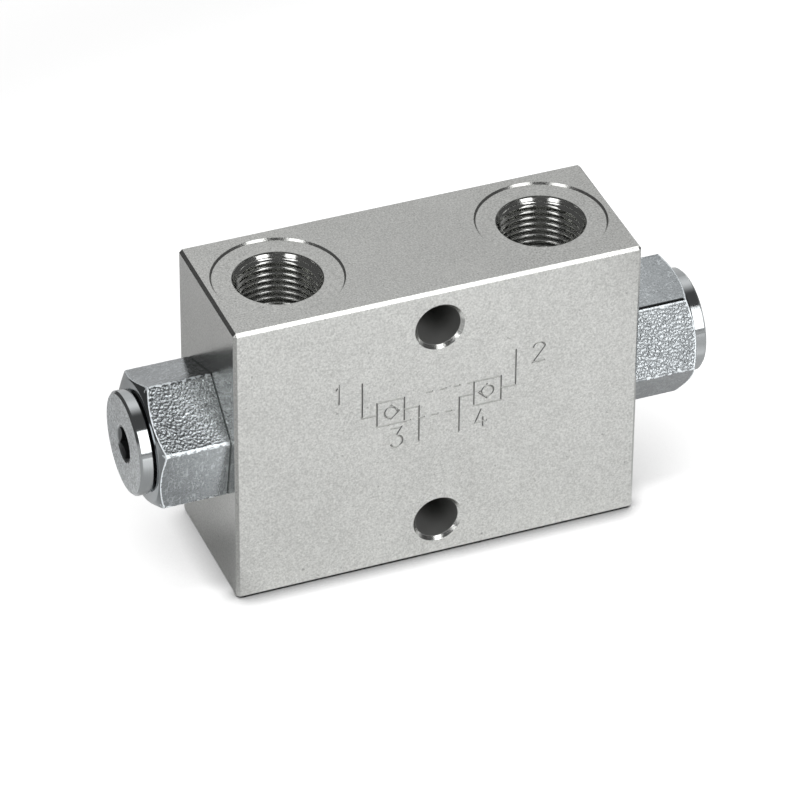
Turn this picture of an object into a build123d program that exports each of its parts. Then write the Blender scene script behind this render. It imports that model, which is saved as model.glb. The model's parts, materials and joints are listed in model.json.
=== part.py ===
from build123d import *
import os
from math import radians, tan

# Double pilot operated check valve: a drilled steel block with two check cartridges and a pilot piston.
# Millimetres. Origin at the centre of the block's underside, +X along the valve bore, +Z up.
# The symbol is stamped on the front face, which looks along -Y.
# Each side's pieces are made by one function: side is 1 on the right (+X) and -1 on the left.

# Block, cut from flat bar
block_length = 80.0
block_width = 30.0
block_height = 60.0
block_edge = 0.6
bore_height = 30.0

# Two screw holes through the block, one above the other
screw_hole_diameter = 8.5
screw_hole_edge = 0.65
screw_hole_inset = 8.0

# Ports, tapped G3/8: the bores have the thread's crest diameter
port_crest_diameter = 14.95
port_mouth_diameter = 17.0
port_thread_length = 12.0
drill_tip_angle = 120.0
spot_face_diameter = 25.0
spot_face_depth = 0.25
cylinder_port_spacing = 52.0
cylinder_drilling_diameter = 6.5
valve_port_spacing = 30.0
valve_drilling_diameter = 7.5

# Stamped symbol and port numbers
mark_width = 0.35
mark_depth = 0.2
symbol_box = 5.4
symbol_box_offset = 9.6
symbol_ball_diameter = 2.4
symbol_height = 5.2
cylinder_line_offset = 15.2
valve_line_offset = 4.0
symbol_line_length = 8.0
pilot_dash = 1.1
number_height = 4.2
number_width = 2.4
cylinder_number_offset = 19.8
cylinder_number_height = 11.5
valve_number_offset = 8.4
valve_number_height = -0.7

# Pilot piston and its bore
pilot_bore_diameter = 16.0
running_clearance = 0.05
ring_clearance = 0.03
pilot_land_length = 14.0
pilot_stem_diameter = 6.0
pilot_stem_edge = 0.5
pilot_travel = 2.0
pilot_ring_height = 2.4
pilot_ring_width = 2.7
backup_ring_width = 1.2

# Valve seats
seat_distance = 19.0
seat_length = 4.0
seat_pocket_diameter = 18.0
seat_hole_diameter = 10.0
seat_ring_height = 1.3
seat_ring_width = 1.9

# Check cartridges, screwed into the block's ends
cartridge_thread_diameter = 20.0
cartridge_thread_length = 9.0
cartridge_undercut_diameter = 18.4
cartridge_guide_diameter = 12.0
cartridge_groove_diameter = 15.8
cartridge_nose_length = 1.2
chamber_length = 4.6
cross_hole_diameter = 4.0
cross_hole_count = 4
cartridge_ring_height = 2.0
cartridge_ring_width = 1.8
hex_flats = 23.6
hex_length = 13.6
hex_corner = 0.35
hex_chamfer_angle = 30.0
hex_face_diameter = 23.0
hex_turn_left = 40.3
hex_turn_right = 7.6
seating_clearance = 0.05

# Poppets
poppet_travel = 3.5
poppet_cone_angle = 90.0
poppet_cone_diameter = 11.2
poppet_nose_diameter = 5.0
poppet_nose_length = 1.0
poppet_neck_diameter = 8.0
poppet_pocket_diameter = 7.2
poppet_pocket_wall = 1.4
poppet_bleed_diameter = 1.6

# Poppet springs
spring_wire = 0.9
spring_diameter = 6.7
spring_turns = 6.0

# End plugs, screwed into the cartridges over a flat seal
plug_thread_diameter = 13.16
plug_stem_length = 10.6
plug_pip_diameter = 4.4
plug_pip_length = 2.5
plug_collar_diameter = 19.9
plug_collar_length = 2.4
plug_collar_edge = 0.45
plug_washer_diameter = 17.6
plug_washer_thickness = 0.5
socket_flats = 6.0
socket_depth = 5.0
socket_edge = 0.3

# Distances from the block's centre along the bore, the same on both sides
block_end = block_length / 2
seat_middle = seat_distance + seat_length / 2
seat_face = seat_distance + seat_length
chamber_start = seat_face + cartridge_nose_length
chamber_end = chamber_start + chamber_length
thread_start = block_end - cartridge_thread_length
recess_start = block_end - cartridge_ring_width
hex_face = block_end + hex_length
collar_back = hex_face + plug_washer_thickness
collar_front = collar_back + plug_collar_length
plug_inner_face = collar_back - plug_stem_length
pilot_groove_end = pilot_ring_width / 2 + backup_ring_width + seating_clearance

# Radii along the bore
pilot_bore_radius = pilot_bore_diameter / 2
pilot_groove_radius = pilot_bore_radius - pilot_ring_height
seat_pocket_radius = seat_pocket_diameter / 2
seat_groove_radius = seat_pocket_radius - seat_ring_height
thread_radius = cartridge_thread_diameter / 2
undercut_radius = cartridge_undercut_diameter / 2
recess_radius = undercut_radius + cartridge_ring_height
guide_radius = cartridge_guide_diameter / 2
plug_thread_radius = plug_thread_diameter / 2

# The cone closes on the outer edge of the seat's hole
cone_slope = tan(radians(poppet_cone_angle / 2))
cone_place = seat_face + seating_clearance
cone_start = cone_place - (seat_hole_diameter - poppet_nose_diameter) / 2 / cone_slope
cone_end = cone_place + (poppet_cone_diameter - seat_hole_diameter) / 2 / cone_slope
poppet_tip = cone_start - poppet_nose_length
poppet_back = plug_inner_face - poppet_travel - seating_clearance
pocket_floor = chamber_end + poppet_pocket_wall
pilot_tip = poppet_tip - pilot_travel - seating_clearance


def bore_plane(side):
    """Plane through the bore's axis: x is the distance from the block's centre, y the radius."""
    return Plane(origin=(0, 0, bore_height), x_dir=(side, 0, 0), z_dir=(0, -side, 0))


def cross_plane(side, distance):
    """Plane across the bore, looking outwards, with its y up."""
    return Plane(origin=(side * distance, 0, bore_height), x_dir=(0, side, 0), z_dir=(side, 0, 0))


def bore_axis(side):
    return Axis((0, 0, bore_height), (side, 0, 0))


def turned_outline(side, points):
    """Half section of a turned piece, from (distance, radius) points."""
    with BuildSketch(bore_plane(side)) as section:
        with BuildLine():
            Polyline(*points, close=True)
        make_face()
    return section.sketch


def stepped_outline(steps, inner_radius=0.0):
    """Points of a half section with square steps: (start, end, radius) from the centre outwards."""
    points = [(steps[0][0], inner_radius)]
    for start, end, radius in steps:
        points += [(start, radius), (end, radius)]
    points.append((steps[-1][1], inner_radius))
    return points


def port_outline(drilling_diameter, drilling_end):
    """Half section of a port, going down: spot face, countersink, thread bore, drill tip, drilling."""
    mouth_radius = port_mouth_diameter / 2
    crest_radius = port_crest_diameter / 2
    drilling_radius = drilling_diameter / 2
    mouth_end = spot_face_depth + mouth_radius - crest_radius
    thread_end = spot_face_depth + port_thread_length
    tip_end = thread_end + (crest_radius - drilling_radius) / tan(radians(drill_tip_angle / 2))
    return [
        (0, 0),
        (spot_face_diameter / 2, 0),
        (spot_face_diameter / 2, -spot_face_depth),
        (mouth_radius, -spot_face_depth),
        (crest_radius, -mouth_end),
        (crest_radius, -thread_end),
        (drilling_radius, -tip_end),
        (drilling_radius, -drilling_end),
        (0, -drilling_end),
    ]


def cut_port(x, z, up, drilling_diameter, drilling_end):
    """Cut a port into the block being made; up is 1 on the top face and -1 on the underside."""
    with BuildSketch(Plane(origin=(x, 0, z), x_dir=(1, 0, 0), z_dir=(0, -up, 0))) as port:
        with BuildLine():
            Polyline(*port_outline(drilling_diameter, drilling_end), close=True)
        make_face()
    revolve(port.sketch, axis=Axis((x, 0, z), (0, 0, up)), mode=Mode.SUBTRACT)


def symbol_lines(side):
    """Lines of one half of the symbol: a check valve and the lines to its two ports."""
    near = side * (symbol_box_offset - symbol_box / 2)
    middle = side * symbol_box_offset
    far = side * (symbol_box_offset + symbol_box / 2)
    low = symbol_height - symbol_box / 2
    high = symbol_height + symbol_box / 2
    ball = symbol_ball_diameter / 2
    supply = side * valve_line_offset
    delivery = side * cylinder_line_offset
    return [
        [(near, low), (far, low), (far, high), (near, high), (near, low)],
        [(far, symbol_height), (delivery, symbol_height), (delivery, symbol_height + symbol_line_length)],
        [(near, symbol_height), (supply, symbol_height), (supply, symbol_height - symbol_line_length)],
        [(middle, symbol_height + 1.4 * ball), (middle - side * 1.4 * ball, symbol_height),
         (middle, symbol_height - 1.4 * ball)],
    ]


def pilot_dashes(side):
    """Dashes of a pilot line, which crosses from one supply line to the other side's check valve."""
    height = symbol_height + side * symbol_box / 2
    start = side * (symbol_box_offset - symbol_box / 2)
    end = -side * valve_line_offset
    count = int(abs(end - start) / (2 * pilot_dash))
    step = (end - start) / count
    return [[(start + i * step, height), (start + (i + 0.5) * step, height)] for i in range(count)]


def draw_number(number):
    """Strokes of a port number, centred on the line plane that is open."""
    w = number_width / 2
    h = number_height / 2
    if number == 1:
        Polyline((-w / 2, h * 0.6), (0, h), (0, -h))
    elif number == 2:
        ThreePointArc((-w, h / 2), (0, h), (w, h / 2))
        Polyline((w, h / 2), (-w, -h), (w, -h))
    elif number == 3:
        Polyline((-w, h), (w * 0.8, h), (-w * 0.1, h * 0.15))
        ThreePointArc((-w * 0.1, h * 0.15), (w, -h * 0.45), (-w, -h * 0.7))
    else:
        Polyline((0, h), (-w, -h * 0.4), (w, -h * 0.4))
        Line((w * 0.3, h * 0.1), (w * 0.3, -h))


def stamp_marks():
    """Press the symbol and the port numbers into the front of the block being made."""
    number_places = [
        (-cylinder_number_offset, cylinder_number_height),
        (cylinder_number_offset, cylinder_number_height),
        (-valve_number_offset, valve_number_height),
        (valve_number_offset, valve_number_height),
    ]
    front = Plane(origin=(0, -block_width / 2, bore_height), x_dir=(1, 0, 0), z_dir=(0, -1, 0))
    with BuildSketch(front) as marks:
        for side in (-1, 1):
            for points in symbol_lines(side) + pilot_dashes(side):
                with BuildLine():
                    Polyline(*points)
                trace(line_width=mark_width)
            with Locations((side * symbol_box_offset, symbol_height)):
                Circle(symbol_ball_diameter / 2 + mark_width / 2)
                Circle(symbol_ball_diameter / 2 - mark_width / 2, mode=Mode.SUBTRACT)
        for number, place in enumerate(number_places, start=1):
            with BuildLine(Plane(origin=(*place, 0))):
                draw_number(number)
            trace(line_width=mark_width)
    extrude(marks.sketch, amount=-mark_depth, mode=Mode.SUBTRACT)


def make_block():
    """The block with its bore, ports, drillings, screw holes and stamped marks."""
    with BuildPart() as block:
        with Locations((0, 0, block_height / 2)):
            Box(block_length, block_width, block_height)
        chamfer(block.edges(), block_edge)
        bore_steps = [
            (0, seat_distance, pilot_bore_radius),
            (seat_distance, thread_start, seat_pocket_radius),
            (thread_start, recess_start, thread_radius),
            (recess_start, block_end, recess_radius),
        ]
        for side in (-1, 1):
            bore = turned_outline(side, stepped_outline(bore_steps))
            revolve(bore, axis=bore_axis(side), mode=Mode.SUBTRACT)
            cut_port(side * cylinder_port_spacing / 2, block_height, 1,
                     cylinder_drilling_diameter, block_height - bore_height)
            cut_port(side * valve_port_spacing / 2, 0, -1, valve_drilling_diameter, bore_height)
        for face in (-1, 1):
            for height in (screw_hole_inset, block_height - screw_hole_inset):
                with Locations(Plane(origin=(0, face * block_width / 2, height), z_dir=(0, face, 0))):
                    CounterSinkHole(screw_hole_diameter / 2, screw_hole_diameter / 2 + screw_hole_edge,
                                    block_width, 90)
        stamp_marks()
    return block


def make_pilot_piston():
    """Land with a seal groove, and a stem on each side that pushes a poppet off its seat."""
    land_radius = pilot_bore_radius - running_clearance
    stem_radius = pilot_stem_diameter / 2
    land_end = pilot_land_length / 2
    steps = [
        (-pilot_tip, -land_end, stem_radius),
        (-land_end, -pilot_groove_end, land_radius),
        (-pilot_groove_end, pilot_groove_end, pilot_groove_radius),
        (pilot_groove_end, land_end, land_radius),
        (land_end, pilot_tip, stem_radius),
    ]
    with BuildPart() as piston:
        revolve(turned_outline(1, stepped_outline(steps)), axis=bore_axis(1))
        rims = piston.edges().filter_by(GeomType.CIRCLE).sort_by(Axis.X)
        chamfer([rims[0], rims[-1]], pilot_stem_edge)
    return piston


def make_seal_ring(side, centre, width, inner_radius, outer_radius):
    """O-ring as it lies squeezed in its groove."""
    height = outer_radius - inner_radius
    with BuildPart() as ring:
        with BuildSketch(bore_plane(side)):
            with Locations((centre, inner_radius + height / 2)):
                Ellipse(width / 2, height / 2)
        revolve(axis=bore_axis(side))
    return ring


def make_flat_ring(side, start, end, inner_radius, outer_radius):
    """Ring with a square section, such as a backup ring or a flat seal."""
    with BuildPart() as ring:
        revolve(turned_outline(side, stepped_outline([(start, end, outer_radius)], inner_radius)),
                axis=bore_axis(side))
    return ring


def make_seat(side):
    """Loose seat ring, clamped in the bore by the cartridge's nose, with a seal groove around it."""
    outer_radius = seat_pocket_radius - seating_clearance
    groove_half = seat_ring_width / 2 + seating_clearance
    steps = [
        (seat_distance, seat_middle - groove_half, outer_radius),
        (seat_middle - groove_half, seat_middle + groove_half, seat_groove_radius),
        (seat_middle + groove_half, seat_face, outer_radius),
    ]
    with BuildPart() as seat:
        revolve(turned_outline(side, stepped_outline(steps, seat_hole_diameter / 2)), axis=bore_axis(side))
    return seat


def make_cartridge(side, hex_turn):
    """Hexagon head with a threaded stem and a nose, bored through for the poppet and the end plug."""
    nose_radius = seat_pocket_radius - seating_clearance
    stem_steps = [
        (seat_face, chamber_start, nose_radius),
        (chamber_start, chamber_end, cartridge_groove_diameter / 2),
        (chamber_end, thread_start + seating_clearance, nose_radius),
        (thread_start + seating_clearance, recess_start, thread_radius - seating_clearance),
        (recess_start, block_end, undercut_radius),
    ]
    bore_steps = [
        (seat_face, plug_inner_face - seating_clearance, guide_radius),
        (plug_inner_face - seating_clearance, hex_face, plug_thread_radius),
    ]
    face_radius = hex_face_diameter / 2
    chamfer_reach = (hex_flats - face_radius) * tan(radians(hex_chamfer_angle))
    chamfer_outline = [
        (block_end, 0),
        (block_end, hex_flats),
        (hex_face - chamfer_reach, hex_flats),
        (hex_face, face_radius),
        (hex_face, 0),
    ]
    with BuildPart() as cartridge:
        with BuildSketch(cross_plane(side, block_end)) as hexagon:
            RegularPolygon(hex_flats / 2, 6, major_radius=False, rotation=side * hex_turn)
            fillet(hexagon.vertices(), hex_corner)
        extrude(amount=hex_length)
        revolve(turned_outline(side, chamfer_outline), axis=bore_axis(side), mode=Mode.INTERSECT)
        revolve(turned_outline(side, stepped_outline(stem_steps)), axis=bore_axis(side))
        revolve(turned_outline(side, stepped_outline(bore_steps)), axis=bore_axis(side), mode=Mode.SUBTRACT)
        hole_plane = cross_plane(side, (chamber_start + chamber_end) / 2)
        for i in range(cross_hole_count):
            turn = 360 / cross_hole_count * (i + 0.5)
            with Locations(hole_plane.rotated((0, 0, turn)).rotated((0, 90, 0))):
                Cylinder(cross_hole_diameter / 2, seat_pocket_radius,
                         align=(Align.CENTER, Align.CENTER, Align.MIN), mode=Mode.SUBTRACT)
    return cartridge


def make_poppet(side):
    """Poppet with a nose for the pilot stem, a seating cone, a guide land and a spring pocket."""
    land_radius = guide_radius - running_clearance
    outline = [
        (poppet_tip, 0),
        (poppet_tip, poppet_nose_diameter / 2),
        (cone_start, poppet_nose_diameter / 2),
        (cone_end, poppet_cone_diameter / 2),
        (cone_end, poppet_neck_diameter / 2),
        (chamber_end, poppet_neck_diameter / 2),
        (chamber_end, land_radius),
        (poppet_back, land_radius),
        (poppet_back, poppet_pocket_diameter / 2),
        (pocket_floor, poppet_pocket_diameter / 2),
        (pocket_floor, 0),
    ]
    bleed_place = (cone_end + chamber_end) / 2
    with BuildPart() as poppet:
        revolve(turned_outline(side, outline), axis=bore_axis(side))
        with Locations((side * bleed_place, 0, bore_height)):
            Cylinder(poppet_bleed_diameter / 2, poppet_neck_diameter, mode=Mode.SUBTRACT)
        with Locations(cross_plane(side, bleed_place)):
            Cylinder(poppet_bleed_diameter / 2, pocket_floor - bleed_place,
                     align=(Align.CENTER, Align.CENTER, Align.MIN), mode=Mode.SUBTRACT)
    return poppet


def make_spring(side):
    """Spring between the poppet's pocket and the end plug, with its ends ground flat."""
    installed_length = plug_inner_face - pocket_floor
    pitch = installed_length / spring_turns
    coil_radius = (spring_diameter - spring_wire) / 2
    coil_start = (side * (pocket_floor - pitch / 2), 0, bore_height)
    ends = [(pocket_floor + seating_clearance, plug_inner_face - seating_clearance, spring_diameter)]
    with BuildPart() as spring:
        with BuildLine() as coil:
            Helix(pitch, installed_length + pitch, coil_radius, center=coil_start, direction=(side, 0, 0))
        with BuildSketch(Plane(origin=coil.line @ 0, z_dir=coil.line % 0)):
            Circle(spring_wire / 2)
        sweep(path=coil.line, is_frenet=True)
        revolve(turned_outline(side, stepped_outline(ends)), axis=bore_axis(side), mode=Mode.INTERSECT)
    return spring


def make_end_plug(side):
    """Collar screw with a hexagon socket, which closes the cartridge and backs the spring."""
    collar_radius = plug_collar_diameter / 2
    stem_radius = plug_thread_radius - seating_clearance
    outline = [
        (plug_inner_face - plug_pip_length, 0),
        (plug_inner_face - plug_pip_length, plug_pip_diameter / 2),
        (plug_inner_face, plug_pip_diameter / 2),
        (plug_inner_face, stem_radius),
        (collar_back, stem_radius),
        (collar_back, collar_radius),
        (collar_front - plug_collar_edge, collar_radius),
        (collar_front, collar_radius - plug_collar_edge),
        (collar_front, 0),
    ]
    lead_radius = socket_flats / 3**0.5 + socket_edge
    socket_floor = collar_front - socket_depth
    tip_depth = socket_flats / 2 / tan(radians(drill_tip_angle / 2))
    lead_outline = [(collar_front, 0), (collar_front, lead_radius), (collar_front - lead_radius, 0)]
    tip_outline = [(socket_floor, 0), (socket_floor, socket_flats / 2), (socket_floor - tip_depth, 0)]
    with BuildPart() as plug:
        revolve(turned_outline(side, outline), axis=bore_axis(side))
        with BuildSketch(cross_plane(side, collar_front)):
            RegularPolygon(socket_flats / 2, 6, major_radius=False, rotation=30)
        extrude(amount=-socket_depth, mode=Mode.SUBTRACT)
        for cut in (lead_outline, tip_outline):
            revolve(turned_outline(side, cut), axis=bore_axis(side), mode=Mode.SUBTRACT)
    return plug


def save(builder, name):
    """Label a finished piece and write it."""
    builder.part.label = name
    export_step(builder.part, f"parts/{name}.step")


os.makedirs("parts", exist_ok=True)
save(make_block(), "valve_block")
save(make_pilot_piston(), "pilot_piston")
save(make_seal_ring(1, 0, pilot_ring_width, pilot_groove_radius, pilot_bore_radius - ring_clearance),
     "piston_o_ring")
for side, side_name, hex_turn in ((-1, "left", hex_turn_left), (1, "right", hex_turn_right)):
    save(make_flat_ring(side, pilot_ring_width / 2, pilot_ring_width / 2 + backup_ring_width,
                        pilot_groove_radius, pilot_bore_radius - ring_clearance),
         f"piston_backup_ring_{side_name}")
    save(make_seat(side), f"seat_ring_{side_name}")
    save(make_seal_ring(side, seat_middle, seat_ring_width, seat_groove_radius, seat_pocket_radius),
         f"seat_o_ring_{side_name}")
    save(make_cartridge(side, hex_turn), f"cartridge_{side_name}")
    save(make_seal_ring(side, (recess_start + block_end) / 2, cartridge_ring_width, undercut_radius,
                        recess_radius),
         f"cartridge_o_ring_{side_name}")
    save(make_poppet(side), f"poppet_{side_name}")
    save(make_spring(side), f"poppet_spring_{side_name}")
    save(make_end_plug(side), f"end_plug_{side_name}")
    save(make_flat_ring(side, hex_face, collar_back, plug_thread_radius, plug_washer_diameter / 2),
         f"plug_washer_{side_name}")
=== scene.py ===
# %% [markdown]
# A double pilot operated check valve, dressed for a product photograph.
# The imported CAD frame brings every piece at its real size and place. This lesson adds what the CAD
# leaves plain: threads in the ports, the pitted skin of the rolled hexagons, plated steel, and a
# small studio. Everything is in metres in the frame's own axes, with +X along the valve bore, the
# stamped face looking along -Y and +Z up, so no piece needs fitting.

# %% Load the frame
import json
import math

import bmesh
import bpy
from mathutils import Matrix, Vector, noise

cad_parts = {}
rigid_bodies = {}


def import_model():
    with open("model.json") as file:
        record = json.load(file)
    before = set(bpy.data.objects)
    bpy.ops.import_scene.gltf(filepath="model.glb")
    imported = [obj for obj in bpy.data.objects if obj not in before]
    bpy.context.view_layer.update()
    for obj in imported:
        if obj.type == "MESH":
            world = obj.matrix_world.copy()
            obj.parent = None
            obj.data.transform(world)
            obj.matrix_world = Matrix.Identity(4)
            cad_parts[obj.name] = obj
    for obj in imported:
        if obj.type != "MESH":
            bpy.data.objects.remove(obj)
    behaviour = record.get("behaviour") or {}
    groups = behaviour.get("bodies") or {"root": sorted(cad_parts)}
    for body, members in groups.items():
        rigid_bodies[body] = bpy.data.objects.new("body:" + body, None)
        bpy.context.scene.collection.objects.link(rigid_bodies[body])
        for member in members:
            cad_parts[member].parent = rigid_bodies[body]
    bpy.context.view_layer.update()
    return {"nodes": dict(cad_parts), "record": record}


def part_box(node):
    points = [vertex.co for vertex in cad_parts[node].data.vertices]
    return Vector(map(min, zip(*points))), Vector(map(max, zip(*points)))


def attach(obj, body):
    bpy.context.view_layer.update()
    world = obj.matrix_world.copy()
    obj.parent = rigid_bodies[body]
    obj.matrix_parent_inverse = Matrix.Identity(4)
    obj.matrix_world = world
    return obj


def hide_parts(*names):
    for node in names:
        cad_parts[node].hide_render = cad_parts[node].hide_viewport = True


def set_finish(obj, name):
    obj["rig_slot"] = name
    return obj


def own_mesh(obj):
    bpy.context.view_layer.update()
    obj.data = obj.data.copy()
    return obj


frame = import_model()
mm = 0.001
block_low, block_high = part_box("valve_block")
bore_height = (block_low[2] + block_high[2]) / 2
block_end = block_high[0]
print("block corners in mm:", [round(v / mm, 2) for v in (*block_low, *block_high)])

# %% [markdown]
# The camera comes first, because it decides how fine each surface has to be. Its place, turn and lens
# were solved from the photograph: the block's corners, port rims and screw holes fix them. It is a long
# lens about a metre away, so parallel edges stay almost parallel.

# %% Place the camera
camera_place = (-0.31095, -0.78018, 0.63507)
camera_turn_degrees = (54.020, -0.353, -21.358)
lens_mm = 249.1
camera_data = bpy.data.cameras.new("camera")
camera_data.sensor_width = 36
camera_data.lens = lens_mm
camera = bpy.data.objects.new("camera", camera_data)
camera.location = camera_place
camera.rotation_euler = [math.radians(a) for a in camera_turn_degrees]
bpy.context.collection.objects.link(camera)
bpy.context.scene.camera = camera
print("camera distance in mm:", round(camera.location.length / mm))

# %% [markdown]
# A turned piece is a stack of rings. Each row of the stack gives a distance along the axis and a
# radius, and either may change with the angle, so the same helper makes a plain bore, a thread or a
# hexagon. A screw modifier would turn one outline too, but it can't vary the radius round the turn.

# %% Helpers for turned meshes
def axis_matrix(origin, direction):
    """Matrix whose z runs along the direction. Its x is kept level where it can be."""
    z = Vector(direction).normalized()
    x = Vector((0, 0, 1)).cross(z)
    if x.length < 0.5:
        x = Vector((1, 0, 0))
    y = z.cross(x.normalized())
    turned = Matrix((x.normalized(), y, z)).transposed().to_4x4()
    return Matrix.Translation(origin) @ turned


def turned_mesh(name, rows, angles, matrix, closed):
    """Mesh through rows of (distance, radius), each a number or a function of the angle.

    A closed mesh joins its last row to its first, as a ring does. An open one is capped at both ends.
    """
    mesh = bmesh.new()
    rings = []
    for distance, radius in rows:
        ring = []
        for angle in angles:
            a = distance(angle) if callable(distance) else distance
            r = radius(angle) if callable(radius) else radius
            point = matrix @ Vector((r * math.cos(angle), r * math.sin(angle), a))
            ring.append(mesh.verts.new(point))
        rings.append(ring)
    pairs = list(zip(rings, rings[1:]))
    if closed:
        pairs.append((rings[-1], rings[0]))
    count = len(angles)
    for low, high in pairs:
        for i in range(count):
            j = (i + 1) % count
            mesh.faces.new((low[i], low[j], high[j], high[i]))
    if not closed:
        mesh.faces.new(list(reversed(rings[0])))
        mesh.faces.new(rings[-1])
    bmesh.ops.recalc_face_normals(mesh, faces=mesh.faces)
    data = bpy.data.meshes.new(name)
    mesh.to_mesh(data)
    mesh.free()
    return data


def add_object(name, data):
    piece = bpy.data.objects.new(name, data)
    bpy.context.collection.objects.link(piece)
    return piece


def even_angles(count):
    return [2 * math.pi * i / count for i in range(count)]


# %% [markdown]
# Booleans cut one solid with another, as a drill does. The exact solver is used because the thread
# cutters graze the bore's wall, and the fast one leaves holes there. The modifier is applied at once,
# so the piece stays a plain mesh.

# %% Helpers for cutting and shading
weld_gap = 0.0005 * mm


def welded_copy(cad_name, name):
    """A CAD node's mesh with its doubled corners joined, as a new object."""
    data = frame["nodes"][cad_name].data.copy()
    mesh = bmesh.new()
    mesh.from_mesh(data)
    bmesh.ops.remove_doubles(mesh, verts=mesh.verts, dist=weld_gap)
    mesh.to_mesh(data)
    mesh.free()
    data.name = name
    return add_object(name, data)


def cut(piece, cutter):
    """Take the cutter's solid out of the piece."""
    modifier = piece.modifiers.new("cut", "BOOLEAN")
    modifier.object = cutter
    modifier.operation = "DIFFERENCE"
    modifier.solver = "EXACT"
    apply_modifiers(piece)
    bpy.data.objects.remove(cutter)


def apply_modifiers(piece):
    shown = piece.evaluated_get(bpy.context.evaluated_depsgraph_get())
    data = bpy.data.meshes.new_from_object(shown)
    piece.modifiers.clear()
    piece.data = data


def shade(piece, sharp_angle=32.0):
    """Smooth shading, with a crease wherever two faces meet at more than the sharp angle."""
    mesh = bmesh.new()
    mesh.from_mesh(piece.data)
    limit = math.radians(sharp_angle)
    for face in mesh.faces:
        face.smooth = True
    for edge in mesh.edges:
        edge.smooth = len(edge.link_faces) == 2 and edge.calc_face_angle() < limit
    mesh.to_mesh(piece.data)
    mesh.free()


def triangles(piece):
    return sum(len(p.vertices) - 2 for p in piece.data.polygons)


# %% [markdown]
# Each port is tapped with a pipe thread, and its crests catch the light as fine bright lines inside the
# dark bore. Bump alone would leave the rim of the hole round, so the thread is real: a tap
# shaped like a wavy cylinder, whose wave climbs one pitch a turn, is cut out of the block. The wave has
# nearly straight flanks and narrow round crests, as a pipe thread has, and the crests are what glints.
# It grows from nothing over the lowest turn. At the mouth it fades into a cone that opens to the
# thread's full width, as a tap's lead leaves it, and a short straight band sits above that cone.

# %% Shape the tap
thread_pitch = 1.337 * mm
thread_root = 16.66 * mm / 2
thread_crest_relief = 0.012 * mm
thread_sharpness = 0.88
thread_rows_per_turn = 24
thread_segments = 80
lead_length = 1.35 * mm
lead_slope = math.tan(math.radians(37))
ports = [m for m in frame["record"]["mounts"] if m["kind"] == "threaded_hole"]
print("ports to tap:", len(ports))


def thread_wave(turns):
    """Share of the thread's depth, one at a root: a triangle wave with rounded tips."""
    swing = math.asin(thread_sharpness * math.cos(2 * math.pi * turns))
    return 0.5 + 0.5 * swing / math.asin(thread_sharpness)


def make_tap(port):
    """Cutter for one port, from the bottom of its thread up into its countersink.

    Each row's radius keeps that row's own values, because it is only called once all rows are made.
    """
    crest = port["dims"]["r_mm"] * mm + thread_crest_relief
    half = port["dims"]["length_mm"] * mm / 2
    length = 2 * half + thread_root - crest
    count = round(length / thread_pitch * thread_rows_per_turn)
    rows = []
    for i in range(count + 1):
        climb = length * i / count
        past_start = max(0.0, climb - (length - lead_length))
        lead = min(thread_root, crest + past_start * lead_slope)
        fade = min(1.0, climb / thread_pitch, 1 - past_start / lead_length)

        def radius(angle, climb=climb, lead=lead, fade=fade):
            wave = thread_wave(climb / thread_pitch - angle / (2 * math.pi))
            return max(lead, crest + (thread_root - crest) * wave * fade)

        rows.append((climb - half, radius))
    matrix = axis_matrix(port["pos_m"], port["axis"])
    data = turned_mesh("tap", rows, even_angles(thread_segments), matrix, closed=False)
    return add_object("tap", data)


# %% [markdown]
# A stamp leaves a groove with sloping sides, one of which stays dark while the other catches the light.
# The CAD's grooves are square. Drawing each groove's floor inwards slopes its sides, and it leaves the
# outline on the face where the CAD put it.

# %% Slope the stamped marks
mark_depth = 0.2 * mm
mark_slope = 0.15 * mm
level_tolerance = 0.01 * mm


def slope_marks(piece):
    """Draw the floor of each mark inwards, and return how many corners moved.

    A corner between two side faces moves away from both. The divisor gives it the same slope on each.
    """
    mesh = bmesh.new()
    mesh.from_mesh(piece.data)
    floor_level = block_low[1] + mark_depth
    moves = []
    for corner in mesh.verts:
        if abs(corner.co.y - floor_level) > level_tolerance:
            continue
        sides = []
        for face in corner.link_faces:
            upright = abs(face.normal.y) < 0.1
            if upright and all((face.normal - side).length > 0.02 for side in sides):
                sides.append(face.normal.copy())
        if sides:
            first, last = sides[0], sides[-1]
            moves.append((corner, mark_slope * (first + last) / (1 + max(first.dot(last), -0.5))))
    for corner, move in moves:
        corner.co += move
    mesh.to_mesh(piece.data)
    mesh.free()
    return len(moves)


# %% [markdown]
# The spot face round each port was cut by a tool whose corner isn't sharp, so its low wall leans. That
# widens the dark ring line seen from above. The CAD's wall is upright, and its floor a little high.
# Here the floor is sunk slightly, and the foot of the wall is drawn inwards, like the marks.

# %% Slope the spot faces
spot_radius = 12.5 * mm
spot_depth = 0.25 * mm
spot_sink = 0.15 * mm
spot_slope = 0.35 * mm
rim_tolerance = 0.02 * mm


def slope_spot_faces(piece):
    """Sink each spot face, lean its wall, and return how many corners moved."""
    level = block_high[2] - bore_height - spot_depth
    count = 0
    for corner in piece.data.vertices:
        height = corner.co.z - bore_height
        if abs(abs(height) - level) > level_tolerance:
            continue
        for port in ports:
            way = Vector((corner.co.x - port["pos_m"][0], corner.co.y - port["pos_m"][1], 0))
            same_side = height * (port["pos_m"][2] - bore_height) > 0
            if same_side and way.length < spot_radius + rim_tolerance:
                corner.co.z -= math.copysign(spot_sink, height)
                if way.length > spot_radius - rim_tolerance:
                    corner.co -= way.normalized() * spot_slope
                count += 1
    return count


# %% [markdown]
# The block starts from the CAD's own mesh, so its outline, bores and screw holes stay where they are.
# The marks and spot faces are shaped first, while their corners are still the CAD's own.

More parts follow.
